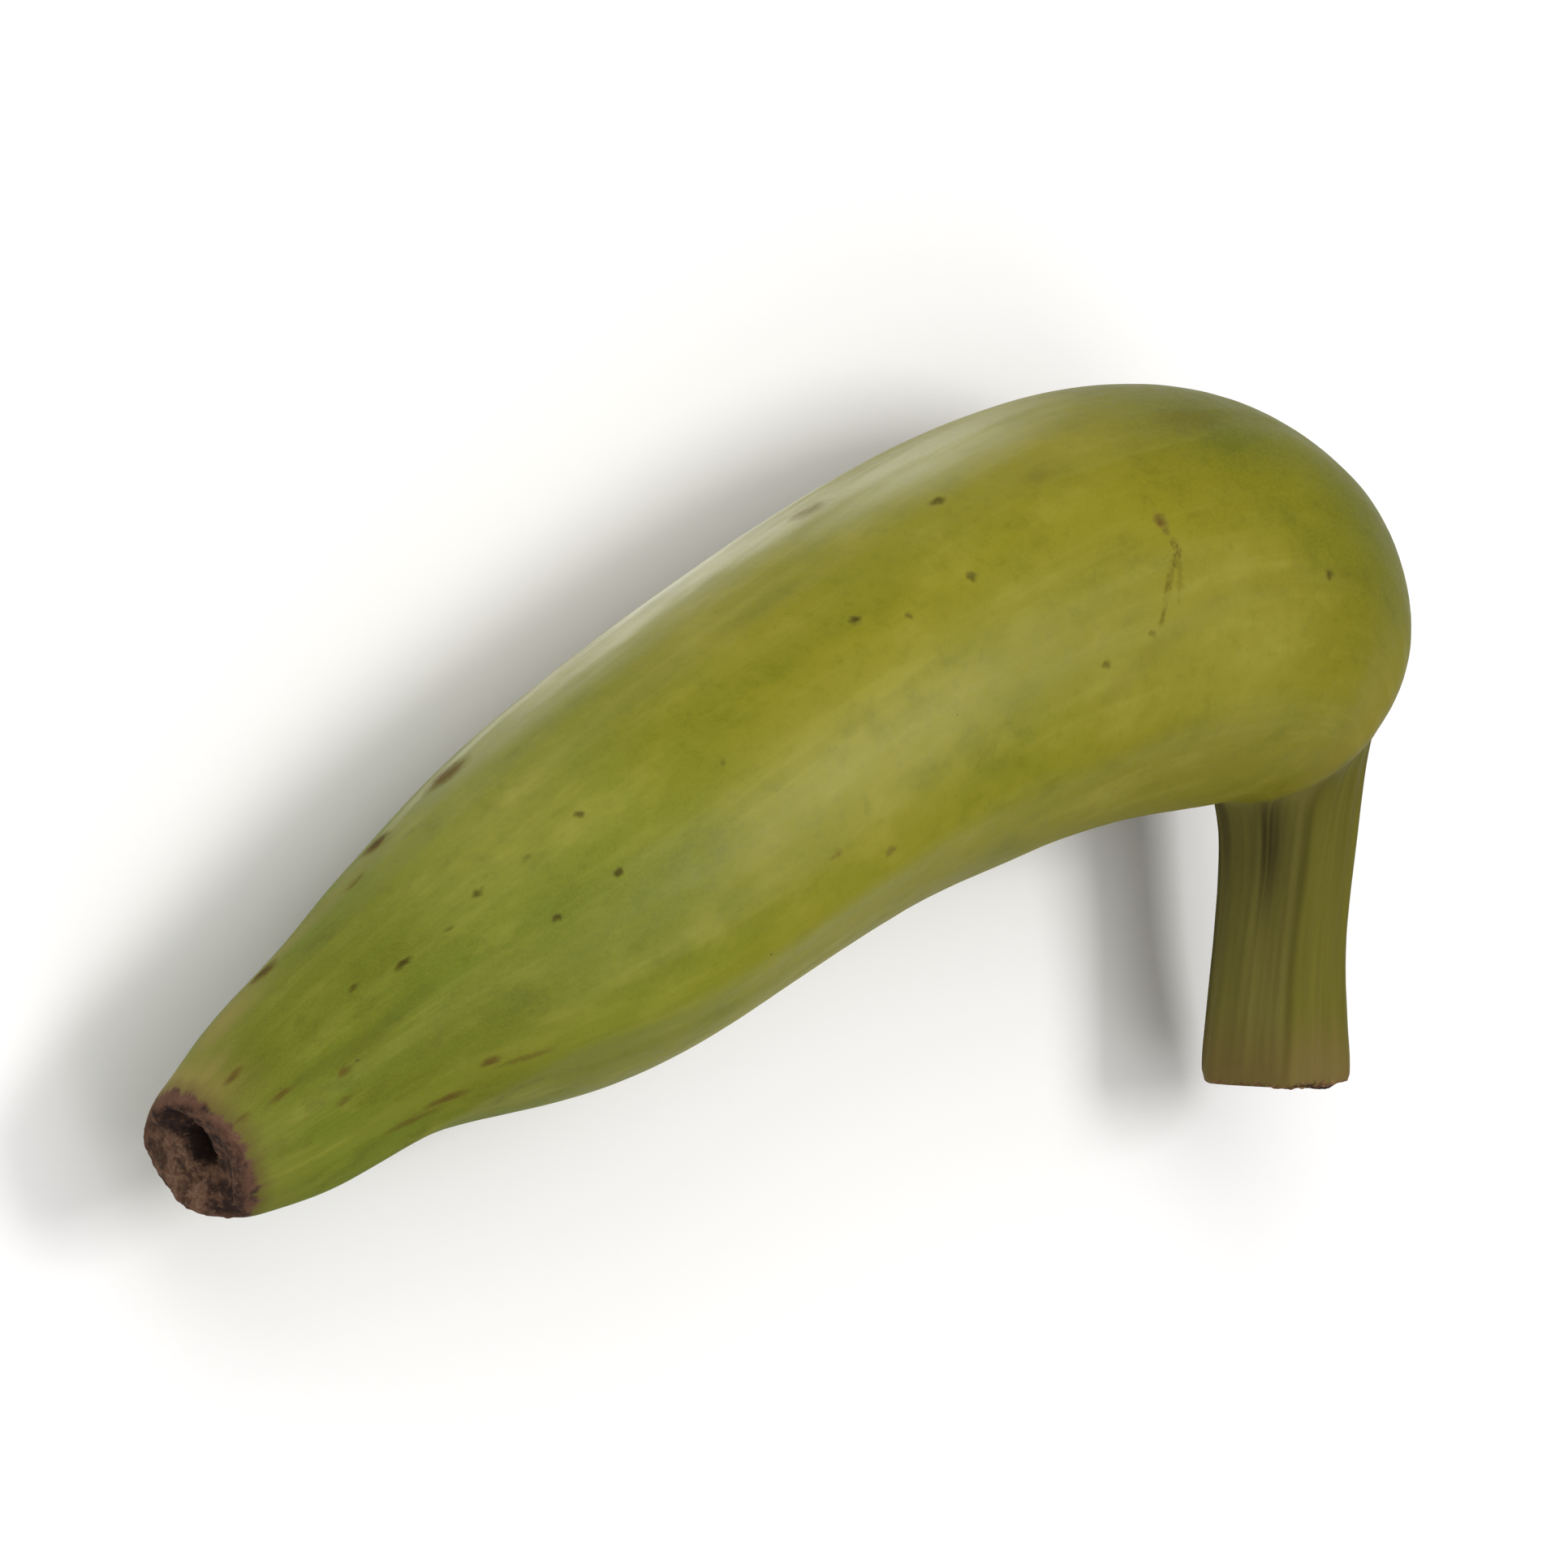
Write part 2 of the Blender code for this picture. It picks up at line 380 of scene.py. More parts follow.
def finger_mesh():
    """Rings of the skin and both end faces, with where each lies on the skin."""
    angles = np.linspace(0.0, 360.0, AROUND, endpoint=False)
    places = np.linspace(0.0, 1.0, RINGS)
    centre, chord, thick, length = sections(places)
    share_grid, angle_grid = np.meshgrid(places, angles, indexing="ij")
    factor = ridge_factor(share_grid, angle_grid)
    from_tip = share_grid * length
    from_cut = (1 - share_grid) * length
    factor = factor * (1 - SCAR_ROUND[0] * np.exp(-from_tip / SCAR_ROUND[1]))
    factor = factor * (1 - CUT_ROUND[0] * np.exp(-from_cut / CUT_ROUND[1]))
    grid = skin_point(
        centre[:, None, :], chord[:, None, :], thick[:, None], angle_grid, factor
    )
    tube = pattern_place(from_tip, angle_grid)
    relief = skin_relief(share_grid, tube)
    grid = grid + grid_normals(grid) * relief[..., None]

    cap_shares = np.linspace(0.95, 0.02, CAP_RINGS)
    scar, scar_middle = end_cap(0.0, -1.0, scar_relief, angles, cap_shares)
    cut, cut_middle = end_cap(1.0, 1.0, cut_relief, angles, cap_shares * 1.01)
    rings = np.concatenate([scar[::-1], grid, cut])
    count = len(rings)
    points = np.vstack([rings.reshape(-1, 3), scar_middle, cut_middle])

    scar_along = -(1 - cap_shares[::-1]) * SCAR_REACH
    cut_along = length + (1 - cap_shares) * CUT_REACH
    along = np.concatenate([scar_along, places * length, cut_along])
    radius = np.concatenate([cap_shares[::-1], np.ones(RINGS), cap_shares])
    kind = np.concatenate([-np.ones(CAP_RINGS), np.zeros(RINGS), np.ones(CAP_RINGS)])
    return points, rings, count, along, radius, kind, angles, length


def build_finger(material):
    """The finger's closed mesh with the places that its material reads."""
    points, rings, count, along, radius, kind, angles, length = finger_mesh()
    points = laid_to_rest(points) * CM
    index = np.arange(count * AROUND).reshape(count, AROUND)
    here = index[:-1]
    ahead = index[1:]
    quads = np.stack(
        [here, np.roll(here, -1, 1), np.roll(ahead, -1, 1), ahead], axis=-1
    ).reshape(-1, 4)
    tip = count * AROUND
    first = index[0]
    last = index[-1]
    fan_tip = np.stack([np.full(AROUND, tip), np.roll(first, -1), first], axis=-1)
    fan_cut = np.stack([np.full(AROUND, tip + 1), last, np.roll(last, -1)], axis=-1)

    mesh = bpy.data.meshes.new("plantain_skin")
    faces = quads.tolist() + fan_tip.tolist() + fan_cut.tolist()
    mesh.from_pydata(points.tolist(), [], faces)
    mesh.update()

    spread = np.repeat(along, AROUND)
    around = np.tile(angles, count)
    tube = pattern_place(spread, around)
    tube = np.vstack([tube, [[-SCAR_REACH, 0, 0], [length + CUT_REACH, 0, 0]]])
    put_vector(mesh, "skin_tube", tube)

    turn = np.radians(around)
    disc = np.stack(
        [
            np.repeat(radius, AROUND) * np.cos(turn),
            np.repeat(radius, AROUND) * np.sin(turn),
            np.repeat(kind, AROUND),
        ],
        axis=-1,
    )
    disc = np.vstack([disc, [[0, 0, -1], [0, 0, 1]]])
    put_vector(mesh, "end_disc", disc)

    loops = np.empty(len(mesh.loops), dtype=np.int64)
    mesh.loops.foreach_get("vertex_index", loops)
    signed = np.where(around > 180, around - 360, around)
    arc = np.concatenate([np.radians(signed) * PATTERN_RADIUS, [0, 0]])
    place = np.concatenate([spread, [-SCAR_REACH, length + CUT_REACH]])
    corner_arc = arc[loops]
    starts = np.empty(len(mesh.polygons), dtype=np.int64)
    mesh.polygons.foreach_get("loop_start", starts)
    totals = np.empty(len(mesh.polygons), dtype=np.int64)
    mesh.polygons.foreach_get("loop_total", totals)
    face_of = np.repeat(np.arange(len(starts)), totals)
    highest = np.full(len(starts), -1e9)
    np.maximum.at(highest, face_of, corner_arc)
    whole = 2 * math.pi * PATTERN_RADIUS
    wrap = (highest[face_of] - corner_arc) > whole / 2
    corner_arc = corner_arc + wrap * whole
    unrolled = np.stack([place[loops], corner_arc, np.zeros(len(loops))], axis=-1)
    layer = mesh.attributes.new("skin_map", "FLOAT_VECTOR", "CORNER")
    layer.data.foreach_set("vector", unrolled.astype(np.float32).ravel())

    for face in mesh.polygons:
        face.use_smooth = True
    mesh.materials.append(material)
    finger = bpy.data.objects.new("plantain_skin", mesh)
    bpy.context.scene.collection.objects.link(finger)
    return finger


def put_vector(mesh, name, values):
    """Stores one vector for each point of the mesh."""
    layer = mesh.attributes.new(name, "FLOAT_VECTOR", "POINT")
    layer.data.foreach_set("vector", values.astype(np.float32).ravel())


class Nodes:
    """Short helpers to wire a node tree."""

    def __init__(self, tree):
        self.tree = tree

    def add(self, kind, inputs=(), **settings):
        """A new node with its inputs linked or set."""
        node = self.tree.nodes.new(kind)
        for key, value in settings.items():
            setattr(node, key, value)
        for key, value in dict(inputs).items():
            socket = node.inputs[key]
            if isinstance(value, bpy.types.NodeSocket):
                self.tree.links.new(value, socket)
            else:
                socket.default_value = value
        return node

    def math(self, operation, a, b=0.0, clamp=False):
        """Result of a sum on two numbers."""
        node = self.add("ShaderNodeMath", {0: a, 1: b}, operation=operation, use_clamp=clamp)
        return node.outputs[0]

    def centred(self, value, amount):
        """A 0 to 1 noise turned round its middle and scaled."""
        return self.math("MULTIPLY", self.math("SUBTRACT", value, 0.5), amount)

    def vector(self, operation, a, b=(0, 0, 0)):
        """Result of a sum on two vectors, or on a vector and its scale."""
        second = 3 if operation == "SCALE" else 1
        node = self.add("ShaderNodeVectorMath", {0: a, second: b}, operation=operation)
        return node.outputs["Value" if operation in ("LENGTH", "DOT_PRODUCT") else 0]

    def ramp(self, value, low, high, start=0.0, end=1.0):
        """Smooth step of value from low to high."""
        node = self.add(
            "ShaderNodeMapRange",
            {"Value": value, "From Min": low, "From Max": high, "To Min": start, "To Max": end},
            interpolation_type="SMOOTHSTEP",
        )
        return node.outputs[0]

    def mix(self, share, a, b):
        """Colour from a to b by a share."""
        node = self.add("ShaderNodeMix", {0: share, 6: a, 7: b}, data_type="RGBA")
        return node.outputs[2]

    def noise(self, vector, scale, detail=3.0, rough=0.5, distortion=0.0):
        """Soft noise from 0 to 1."""
        node = self.add(
            "ShaderNodeTexNoise",
            {
                "Vector": vector,
                "Scale": scale,
                "Detail": detail,
                "Roughness": rough,
                "Distortion": distortion,
            },
        )
        return node.outputs[0]

    def attribute(self, name):
        """Vector that the mesh stores under a name."""
        return self.add("ShaderNodeAttribute", attribute_name=name).outputs["Vector"]

    def parts(self, vector):
        """The three numbers of a vector."""
        return self.add("ShaderNodeSeparateXYZ", {0: vector}).outputs


# Specks of the skin: share of the length, angle round the section in degrees,
# length and width in centimetres, cover
SPECKS = (
    (0.122, 45, 0.21, 0.12, 1.0), (0.095, 39, 0.12, 0.10, 0.7),
    (0.175, 40, 0.12, 0.12, 0.8), (0.152, 45, 0.13, 0.08, 0.5),
    (0.242, 40, 0.09, 0.09, 0.8), (0.238, 63, 0.12, 0.10, 0.95),
    (0.198, 65, 0.10, 0.10, 0.9), (0.205, 41, 0.14, 0.09, 0.4),
    (0.435, 42, 0.13, 0.11, 0.95), (0.458, 50, 0.09, 0.08, 0.6),
    (0.500, 50, 0.10, 0.10, 0.75), (0.522, 24, 0.17, 0.12, 0.8),
    (0.550, 89, 0.09, 0.08, 0.6), (0.583, 86, 0.07, 0.07, 0.45),
    (0.710, 80, 0.10, 0.10, 0.8), (0.321, 54, 0.08, 0.06, 0.4),
    (0.300, -92, 0.12, 0.09, 0.8), (0.420, -130, 0.13, 0.09, 0.8),
    (0.520, -76, 0.10, 0.09, 0.8), (0.180, -105, 0.14, 0.10, 0.9),
    (0.640, -118, 0.11, 0.09, 0.7), (0.350, 160, 0.13, 0.08, 0.7),
    (0.500, -58, 0.10, 0.08, 0.7), (0.250, -150, 0.11, 0.09, 0.8),
    (0.083, -13, 0.34, 0.28, 0.72), (0.190, -26, 0.26, 0.26, 0.60),
)

# Brown scuffs in the same order
SCUFFS = (
    (0.083, -12, 0.36, 0.34, 1.0), (0.188, -25, 0.34, 0.44, 1.0),
    (0.155, -13, 0.30, 0.24, 0.6), (0.242, -20, 0.56, 0.46, 1.0),
    (0.020, 30, 0.26, 0.22, 0.9), (0.030, 61, 0.32, 0.14, 0.9),
    (0.008, 57, 0.18, 0.16, 0.8), (0.062, 72, 0.17, 0.15, 0.8),
    (0.055, 86, 0.20, 0.17, 0.8), (0.140, 108, 0.22, 0.18, 0.9),
    (0.115, 120, 0.50, 0.16, 0.9), (0.095, 124, 0.70, 0.18, 0.7),
    (0.158, 112, 0.60, 0.10, 0.6), (0.492, -8, 0.40, 0.28, 0.6),
    (0.355, 97, 0.16, 0.09, 0.7), (0.388, 106, 0.14, 0.09, 0.6),
    (0.570, 33, 0.40, 0.20, 0.18), (0.670, 29, 0.90, 0.46, 0.25),
    (0.612, 59, 0.13, 0.24, 0.95), (0.160, -62, 0.50, 0.20, 0.7),
    (0.410, -95, 0.70, 0.25, 0.5), (0.600, -64, 0.45, 0.30, 0.6),
    (0.070, -120, 0.60, 0.25, 0.7), (0.330, -168, 0.70, 0.22, 0.5),
)

# Wide soft zones in the same order: paler peel with a painted sheen mid-flank,
# deeper peel with painted shade on the dome's far edge and the tip's top, tan peel
# near the scar, painted shade in the neck's hollows, and a painted highlight along
# the outer ridge
PALE_AND_SHEEN_ZONES = (
    (0.400, 78, 3.6, 1.5, 0.40), (0.215, 25, 2.6, 2.0, 0.30),
    (0.640, 104, 2.4, 1.4, 0.25), (0.330, -90, 4.0, 1.8, 0.30),
    (0.560, -120, 3.0, 1.6, 0.25), (0.300, 150, 3.0, 1.2, 0.25),
)
DEEP_AND_SHADED_ZONES = (
    (0.120, 84, 2.6, 1.6, 0.35), (0.700, 22, 2.8, 2.6, 0.95),
    (0.140, 118, 1.8, 0.9, 0.50), (0.620, -70, 3.0, 2.0, 0.35),
    (0.570, 33, 0.7, 0.5, 0.15), (0.078, 67, 1.0, 0.8, 0.60),
    (0.078, 30, 2.8, 3.4, 0.45), (0.026, 36, 1.4, 2.2, 0.75),
    (0.755, 46, 2.4, 3.4, 0.92), (0.150, -110, 3.0, 1.6, 0.30),
    (0.480, 152, 3.0, 1.3, 0.30),
)
TAN_ZONES = (
    (0.045, -8, 1.3, 0.9, 0.85), (0.090, -18, 2.0, 0.5, 0.60),
    (0.150, -20, 2.4, 0.5, 0.40), (0.040, -115, 1.1, 0.8, 0.45),
    (0.800, 120, 1.6, 2.2, 0.40),
)
NECK_SHADE_ZONES = (
    (0.864, 160, 1.8, 0.86, 0.85), (0.822, 118, 0.8, 1.6, 0.12),
    (0.850, -150, 1.8, 0.9, 0.55), (0.835, 60, 1.2, 0.6, 0.35),
)
# Painted highlight: a white line and sheen along the outer ridge
RIDGE_HIGHLIGHT_ZONES = (
    (0.450, -26, 8.0, 0.46, 0.95), (0.440, -16, 6.6, 1.10, 0.48),
    (0.545, -2, 3.0, 1.3, 0.34),
)

# Colours of the skin, from its base tones to its marks
PEEL_GREEN = (0.103, 0.137, 0.0090, 1.0)
PEEL_YELLOW = (0.194, 0.174, 0.0110, 1.0)
PEEL_DOME = (0.176, 0.152, 0.0055, 1.0)
# Paler peel, also used for a painted sheen patch on the flank
PEEL_PALE_AND_SHEEN = (0.285, 0.270, 0.048, 1.0)
# Deeper peel, also used as painted shade
PEEL_DEEP_AND_SHADE = (0.090, 0.096, 0.0032, 1.0)
PEEL_BLOTCH = (0.072, 0.083, 0.0040, 1.0)
# White of a painted highlight along the outer ridge
PAINTED_RIDGE_HIGHLIGHT = (0.72, 0.72, 0.58, 1.0)
PEEL_GRAIN = (0.24, 0.22, 0.014, 1.0)
PEEL_CREST = (0.255, 0.250, 0.020, 1.0)
TAN = (0.235, 0.180, 0.052, 1.0)
NECK_DARK = (0.095, 0.080, 0.020, 1.0)
NECK_LIGHT = (0.235, 0.210, 0.056, 1.0)
# Darker neck tones: painted shade on the neck's visible flank
NECK_SHADED_DARK = (0.056, 0.048, 0.006, 1.0)
NECK_SHADED_LIGHT = (0.132, 0.119, 0.016, 1.0)
# Painted shade in the neck's hollows
NECK_GROOVE_SHADE = (0.042, 0.031, 0.011, 1.0)
DRY_EDGE = (0.150, 0.095, 0.035, 1.0)
SHADED_GREEN = (0.050, 0.060, 0.004, 1.0)
SCUFF_BROWN = (0.086, 0.044, 0.011, 1.0)
CREASE_OLIVE = (0.100, 0.088, 0.005, 1.0)
CRACK_BROWN = (0.064, 0.040, 0.006, 1.0)
SPECK_BROWN = (0.040, 0.026, 0.004, 1.0)
FRECKLE_BROWN = (0.060, 0.036, 0.010, 1.0)
SCAR_HALO = (0.100, 0.064, 0.020, 1.0)

# Colours of the blossom scar and of the cut stem face
SCAR_DARK = (0.032, 0.018, 0.014, 1.0)
SCAR_LIGHT = (0.144, 0.075, 0.047, 1.0)
SCAR_FLECK = (0.250, 0.160, 0.098, 1.0)
SCAR_RIM = (0.118, 0.058, 0.036, 1.0)
SCAR_HOLLOW = (0.016, 0.011, 0.009, 1.0)
SCAR_STAIN = (0.010, 0.006, 0.005, 1.0)
CUT_DARK = (0.095, 0.043, 0.018, 1.0)
CUT_LIGHT = (0.33, 0.190, 0.085, 1.0)
CUT_FIBRE = (0.060, 0.028, 0.013, 1.0)
CUT_HOLLOW = (0.024, 0.012, 0.008, 1.0)

# The second ridge of the visible flank, in degrees, which is paler
PALE_RIDGE = RIDGES[1]

# Constant shine of the skin, and strength and depth (in metres) of its bump
SKIN_IOR = 1.45
SKIN_SPECULAR = 0.13
BUMP_STRENGTH = 0.25
BUMP_DEPTH = 0.0006

# Thin marks: places (share, angle) along a line, width in centimetres, cover
CRACKS = (
    (((0.613, 65.0), (0.613, 68.5), (0.608, 70.5)), 0.17, 1.0),
    (((0.608, 70.5), (0.600, 76.0), (0.595, 80.0), (0.590, 84.5)), 0.12, 0.75),
    (((0.612, 70.5), (0.609, 76.0), (0.605, 80.5)), 0.10, 0.38),
    (((0.455, -101.0), (0.480, -96.0), (0.492, -88.0)), 0.09, 1.0),
)

# Soft lines over places (share, angle)
CREASE = ((0.547, 98), (0.588, 89), (0.649, 83), (0.709, 81), (0.740, 79))
CREASE_WIDTH = 0.42
TIP_SHADE = ((0.045, 62), (0.085, 66), (0.120, 62))
TIP_SHADE_WIDTH = 0.55
TIP_SHADE_COVER = 0.24

# How much of the peel's colour each kind of mark hides
TAN_COVER = 0.70
NECK_COVER = 0.85
DRY_COVER = 0.6
SCUFF_COVER = 0.85
SPECK_COVER = 0.88
SCAR_RIM_COVER = 0.70

# How much rougher than the peel the ends and the marks are
END_ROUGHER = 0.30
MARK_ROUGHER = 0.45

# Spots of the scar's disc, as (outer side, flank side) shares of its radius:
# centre, half-lengths, then cover for the pit's stain and lighter (+) or darker
# (-) crust for the others
PIT_STAIN = (0.08, -0.07, 0.36, 0.23, 0.9)
SCAR_SPOTS = (
    (-0.42, -0.50, 0.85, 0.45, 0.11),
    (0.57, -0.26, 0.30, 0.24, -0.10),
    (-0.85, 0.30, 0.26, 0.18, -0.12),
)


def skin_place(share, angle, length):
    """Place on the unrolled skin, in centimetres."""
    return (share * length, math.radians(angle) * PATTERN_RADIUS, 0.0)


def mark_mask(n, place, marks, length, softness):
    """Largest cover of all marks, as seen from a place on the unrolled skin."""
    total = None
    for share, angle, long, wide, strength in marks:
        away = n.vector("SUBTRACT", place, skin_place(share, angle, length))
        scaled = n.vector("MULTIPLY", away, (2 / long, 2 / wide, 0.0))
        reach = n.vector("LENGTH", scaled)
        cover = n.ramp(reach, 1.0 + softness, 1.0 - softness, 0.0, strength)
        total = cover if total is None else n.math("MAXIMUM", total, cover)
    return total


def line_mask(n, place, line, length, width):
    """Cover of a thin line that runs over the given places of the skin."""
    total = None
    for begin, finish in zip(line, line[1:]):
        first = Vector(skin_place(*begin, length))
        reach = Vector(skin_place(*finish, length)) - first
        away = n.vector("SUBTRACT", place, tuple(first))
        share = n.vector("DOT_PRODUCT", away, tuple(reach / reach.length_squared))
        share = n.math("ADD", share, 0.0, clamp=True)
        foot = n.vector("SCALE", tuple(reach), share)
        distance = n.vector("LENGTH", n.vector("SUBTRACT", away, foot))
        cover = n.ramp(distance, width * 0.5, width * 0.1)
        total = cover if total is None else n.math("MAXIMUM", total, cover)
    return total


def peel_colour(n, flat, share, angle, tube, noises, length):
    """Green to yellow-green peel with soft blotches and lengthwise streaks, painted shade and
    sheen, and a painted highlight along the outer ridge.
    """
    streaks, threads, mottle, grain = noises
    patches = n.noise(n.vector("MULTIPLY", tube, (0.55, 1.0, 1.0)), 0.42, 2.0)
    cloud = n.noise(n.vector("MULTIPLY", tube, (0.6, 1.0, 1.0)), 1.5, 4.0, 0.6)
    warm = n.ramp(share, 0.06, 0.44, 0.06, 0.84)
    warm = n.math("ADD", warm, n.centred(patches, 0.60))
    warm = n.math("ADD", warm, n.centred(cloud, 0.50))
    warm = n.math("ADD", warm, n.centred(streaks, 0.28), clamp=True)
    colour = n.mix(warm, PEEL_GREEN, PEEL_YELLOW)
    dome = n.ramp(share, 0.52, 0.66, 0.0, 0.55)
    colour = n.mix(dome, colour, PEEL_DOME)
    # Paler peel, with a painted sheen patch mid-flank
    pale_and_sheen = n.ramp(threads, 0.46, 0.78, 0.0, 0.22)
    pale_and_sheen = n.math("ADD", pale_and_sheen, n.ramp(cloud, 0.5, 0.75, 0.0, 0.25))
    pale_and_sheen = n.math("ADD", pale_and_sheen, mark_mask(n, flat, PALE_AND_SHEEN_ZONES, length, 0.95), clamp=True)
    colour = n.mix(pale_and_sheen, colour, PEEL_PALE_AND_SHEEN)
    # Deeper peel, with painted shade on the dome's far edge and the tip's upper side
    deep_and_shade = n.ramp(mottle, 0.50, 0.30, 0.0, 0.20)
    deep_and_shade = n.math("ADD", deep_and_shade, n.ramp(cloud, 0.48, 0.25, 0.0, 0.35))
    deep_and_shade = n.math("ADD", deep_and_shade, mark_mask(n, flat, DEEP_AND_SHADED_ZONES, length, 0.95), clamp=True)
    colour = n.mix(deep_and_shade, colour, PEEL_DEEP_AND_SHADE)
    blotch = n.ramp(n.noise(tube, 1.9, 3.0, 0.55), 0.46, 0.30)
    blotch = n.math("MULTIPLY", blotch, n.ramp(share, 0.30, 0.10, 0.12, 0.40))
    colour = n.mix(blotch, colour, PEEL_BLOTCH)
    # Painted highlight: a white line and sheen along the outer ridge
    ridge_highlight = mark_mask(n, flat, RIDGE_HIGHLIGHT_ZONES, length, 0.9)
    ridge_highlight = n.math("MULTIPLY", ridge_highlight, n.ramp(streaks, 0.34, 0.62, 0.30, 1.0))
    colour = n.mix(ridge_highlight, colour, PAINTED_RIDGE_HIGHLIGHT)
    fine = n.ramp(grain, 0.35, 0.65, 0.0, 0.15)
    colour = n.mix(fine, colour, PEEL_GRAIN)
    crest = n.math("ABSOLUTE", n.math("SUBTRACT", angle, PALE_RIDGE))
    crest = n.ramp(crest, 16.0, 0.0, 0.0, 0.20)
    crest = n.math("MULTIPLY", crest, n.ramp(share, 0.62, 0.30))
    return n.mix(crest, colour, PEEL_CREST)


def end_tints(n, colour, flat, share, angle, noises, length):
    """Tan skin beside the scar and dull olive-brown skin along the neck, with painted shade on
    the neck's visible flank and in its hollows.
    """
    streaks, threads, mottle, _ = noises
    ragged = n.math("ADD", n.math("MULTIPLY", share, length), n.centred(streaks, 1.3))
    outer = n.ramp(n.math("ABSOLUTE", n.math("ADD", angle, 8.0)), 65.0, 18.0, 0.25, 1.0)
    tan = n.math("MULTIPLY", n.ramp(ragged, 1.05, 0.05), outer)
    tan = n.math("MAXIMUM", tan, mark_mask(n, flat, TAN_ZONES, length, 0.9))
    colour = n.mix(n.math("MULTIPLY", tan, TAN_COVER), colour, TAN)
    neck = n.ramp(n.math("ADD", share, n.centred(mottle, 0.02)), 0.785, 0.835)
    stripe = n.math("ADD", n.centred(streaks, 0.8), n.centred(threads, 0.5))
    stripe = n.math("ADD", stripe, 0.45, clamp=True)
    neck_colour = n.mix(stripe, NECK_DARK, NECK_LIGHT)
    shaded_neck_colour = n.mix(stripe, NECK_SHADED_DARK, NECK_SHADED_LIGHT)
    # Painted shade: the neck is darker on its flank that faces the lamps
    painted_neck_shade = n.ramp(n.math("ABSOLUTE", angle), 136.0, 120.0)
    neck_colour = n.mix(painted_neck_shade, neck_colour, shaded_neck_colour)
    colour = n.mix(n.math("MULTIPLY", neck, NECK_COVER), colour, neck_colour)
    # Painted shade in the neck's hollows and grooves
    groove_shade = mark_mask(n, flat, NECK_SHADE_ZONES, length, 0.8)
    groove_shade = n.math("MULTIPLY", groove_shade, n.ramp(threads, 0.66, 0.40, 0.45, 1.0))
    colour = n.mix(groove_shade, colour, NECK_GROOVE_SHADE)
    dry = n.ramp(n.math("ADD", share, n.centred(streaks, 0.05)), 0.955, 1.0)
    return n.mix(n.math("MULTIPLY", dry, DRY_COVER), colour, DRY_EDGE)


def disc_spot(n, place, spot, ragged):
    """Soft spot with a ragged edge on an end's disc."""
    x, y, long, wide, cover = spot
    away = n.vector("SUBTRACT", place, (x, y, 0.0))
    reach = n.vector("LENGTH", n.vector("MULTIPLY", away, (1 / long, 1 / wide, 0.0)))
    return n.ramp(n.math("ADD", reach, ragged), 1.25, 0.65, 0.0, cover)


def scar_colour(n, disc, crust):
    """Crust of the blossom scar: dark, flecked, with a thin brown rim."""
    coarse = n.noise(crust, 5.0, 5.0, 0.65)
    fine = n.noise(crust, 15.0, 4.0, 0.7)
    patch = n.noise(n.vector("ADD", crust, (0.35, 0.1, 0.0)), 2.3, 3.0, 0.6)
    flat = n.vector("MULTIPLY", disc, (1.0, 1.0, 0.0))
    light = coarse
    for spot in SCAR_SPOTS:
        light = n.math("ADD", light, disc_spot(n, flat, spot, n.centred(fine, 1.2)))
    colour = n.mix(n.ramp(light, 0.38, 0.66), SCAR_DARK, SCAR_LIGHT)
    flecks = n.math("ADD", fine, n.math("SUBTRACT", light, coarse))
    colour = n.mix(n.ramp(flecks, 0.54, 0.72, 0.0, 0.60), colour, SCAR_FLECK)
    radius = n.math("ADD", n.vector("LENGTH", flat), n.centred(coarse, 0.24))
    rim = n.ramp(radius, 0.80, 0.94)
    colour = n.mix(n.math("MULTIPLY", rim, SCAR_RIM_COVER), colour, SCAR_RIM)
    hollow = n.ramp(patch, 0.46, 0.37, 0.0, 0.60)
    colour = n.mix(hollow, colour, SCAR_HOLLOW)
    pit = disc_spot(n, flat, PIT_STAIN, n.centred(fine, 0.8))
    colour = n.mix(pit, colour, SCAR_STAIN)
    return colour, fine


def cut_colour(n, crust):
    """Cut stem face: fibrous light and dark brown, nearly black in patches."""
    coarse = n.noise(crust, 3.2, 5.0, 0.6, 0.6)
    fine = n.noise(crust, 15.0, 4.0, 0.75)
    fibres = n.add("ShaderNodeTexVoronoi", {"Vector": crust, "Scale": 9.0, "Randomness": 1.0})
    fibres = fibres.outputs["Distance"]
    colour = n.mix(n.ramp(fine, 0.36, 0.64), CUT_DARK, CUT_LIGHT)
    colour = n.mix(n.ramp(fibres, 0.42, 0.70, 0.0, 0.5), colour, CUT_FIBRE)
    colour = n.mix(n.ramp(coarse, 0.52, 0.36), colour, CUT_HOLLOW)
    return colour, fine


